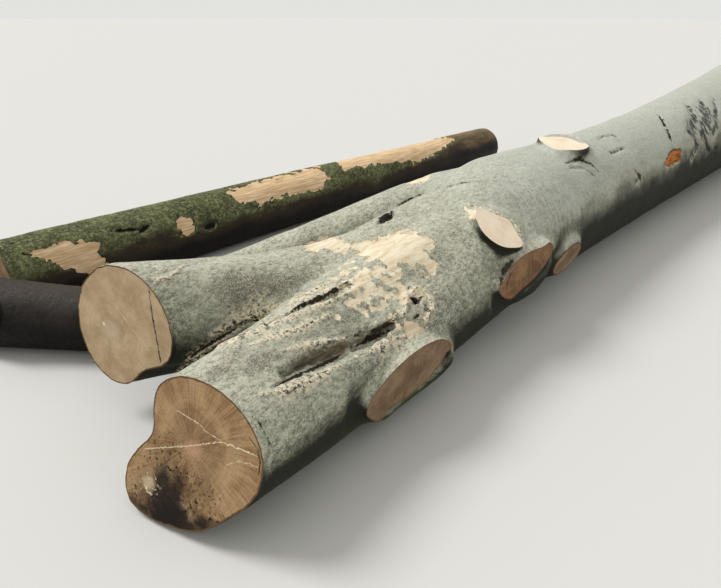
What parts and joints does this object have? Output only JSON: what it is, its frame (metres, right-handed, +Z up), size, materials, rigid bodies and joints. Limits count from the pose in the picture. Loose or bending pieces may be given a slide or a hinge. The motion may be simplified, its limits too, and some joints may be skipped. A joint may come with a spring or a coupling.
{
  "type": "stack of logs",
  "caption": "Felled forked beech trunk with sawn stems and limb stubs, lying beside a mossy log and a short dark log",
  "frame": {"origin": "on the ground, in the middle of the heap's footprint", "axes": "+X along the logs from the sawn stems to the trunk's butt, +Y away from the near side, +Z up"},
  "size_m": [8.0931, 2.6587, 1.0909],
  "materials": {
    "smooth_bark": "smooth grey-green beech bark, sawn ends warm brown",
    "mossy_bark": "bark under green algae, with pale patches where it has come off",
    "dark_bark": "wet dark bark"
  },
  "bodies": {
    "root": {"forked_trunk": "smooth_bark", "mossy_log": "mossy_bark", "dark_log": "dark_bark"}
  },
  "joints": []
}
